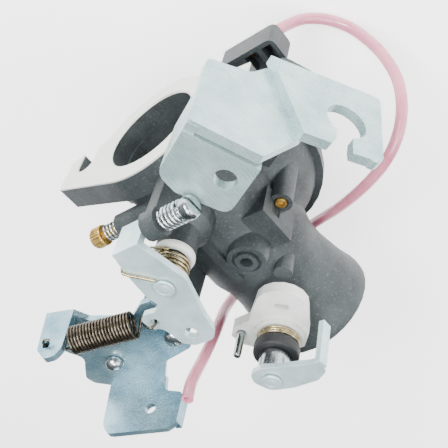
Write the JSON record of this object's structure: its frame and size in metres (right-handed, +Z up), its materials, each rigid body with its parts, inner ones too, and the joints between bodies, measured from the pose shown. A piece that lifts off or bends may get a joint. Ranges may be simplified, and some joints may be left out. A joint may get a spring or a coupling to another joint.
{
  "type": "carburetor",
  "caption": "Float-bowl carburetor for a small engine, with throttle and choke butterflies, return springs, a cable bracket, a lever bracket and a vent hose.",
  "frame": {"origin": "centre of the bore on the engine flange's face", "axes": "+X along the bore from the engine flange to the air horn, +Y towards the cable bracket, +Z up to the levers"},
  "size_m": [0.1023, 0.1209, 0.114],
  "materials": {
    "casting": "as cast, dark grey, machined on the flange",
    "zinc_plate": "zinc-plated steel sheet",
    "steel": "turned and ground steel",
    "spring_wire": "drawn wire",
    "brass": "turned brass",
    "nylon": "moulded natural nylon",
    "rubber": "moulded black rubber",
    "hose": "extruded pink hose",
    "float_foam": "moulded black float"
  },
  "bodies": {
    "carburetor_body": {"body_casting": "casting", "bowl_bolt": "steel", "bowl_gasket": "rubber", "cable_bracket": "zinc_plate", "cable_bracket_screw_1": "steel", "cable_bracket_screw_2": "steel", "drain_screw": "brass", "emulsion_tube": "brass", "extension_spring": "spring_wire", "float_bowl": "casting", "float_pin": "steel", "hose_nipple": "brass", "idle_screw_spring": "steel", "lever_bracket": "zinc_plate", "lever_bracket_rivet": "steel", "lever_bracket_screw_1": "steel", "lever_bracket_screw_2": "steel", "main_jet": "brass", "mixture_screw_spring": "steel", "needle_seat": "brass", "pilot_jet": "brass", "throttle_collar": "nylon", "throttle_return_spring": "spring_wire", "vent_hose": "hose"},
    "throttle": {"throttle_shaft": "steel", "throttle_plate": "brass", "throttle_plate_screw_1": "steel", "throttle_plate_screw_2": "steel", "throttle_lever": "zinc_plate"},
    "choke": {"choke_shaft": "steel", "choke_plate": "brass", "choke_plate_screw_1": "steel", "choke_plate_screw_2": "steel", "choke_lever": "zinc_plate", "choke_ring": "rubber", "choke_hub": "steel", "choke_spring": "spring_wire"},
    "choke_cam": {"choke_cam": "nylon", "cam_pin": "steel"},
    "idle_screw": {"idle_stop_screw": "steel"},
    "mixture_screw": {"mixture_screw": "brass"},
    "float": {"float": "float_foam"},
    "needle": {"float_needle": "steel"}
  },
  "joints": [
    {"name": "throttle_turn", "type": "hinge", "parent": "carburetor_body", "child": "throttle", "pos_m": [0.023, 0, 0], "axis": [0, 0, 1], "range_deg": [0, 70], "stiffness_Nm_per_rad": 0.08, "springref_deg": -71.62, "deforming": ["extension_spring", "throttle_return_spring"]},
    {"name": "choke_turn", "type": "hinge", "parent": "carburetor_body", "child": "choke", "pos_m": [0.0732, 0, 0], "axis": [0, 0, 1], "range_deg": [-75, 0]},
    {"name": "choke_cam_turn", "type": "hinge", "parent": "carburetor_body", "child": "choke_cam", "pos_m": [0.0732, 0, 0], "axis": [0, 0, 1], "range_deg": [-75, 0]},
    {"name": "idle_screw_turn", "type": "hinge", "parent": "carburetor_body", "child": "idle_screw", "pos_m": [0.0076, 0.015, 0.0393], "axis": [0, 1, 0], "range_deg": [-360, 360]},
    {"name": "mixture_screw_turn", "type": "hinge", "parent": "carburetor_body", "child": "mixture_screw", "pos_m": [0.0152, -0.022, 0.0196], "axis": [0, -1, 0], "range_deg": [-360, 360]},
    {"name": "float_turn", "type": "hinge", "parent": "carburetor_body", "child": "float", "pos_m": [0.0175, 0, -0.0272], "axis": [0, 1, 0], "range_deg": [-6, 0]},
    {"name": "needle_slide", "type": "slide", "parent": "carburetor_body", "child": "needle", "axis": [0, 0, 1], "range_m": [0, 0.0008]}
  ],
  "couplings": [
    {"joint": "choke_cam_turn", "follows": "choke_turn", "ratio": 1},
    {"joint": "needle_slide", "follows": "float_turn", "m_per_rad": -0.0075}
  ]
}
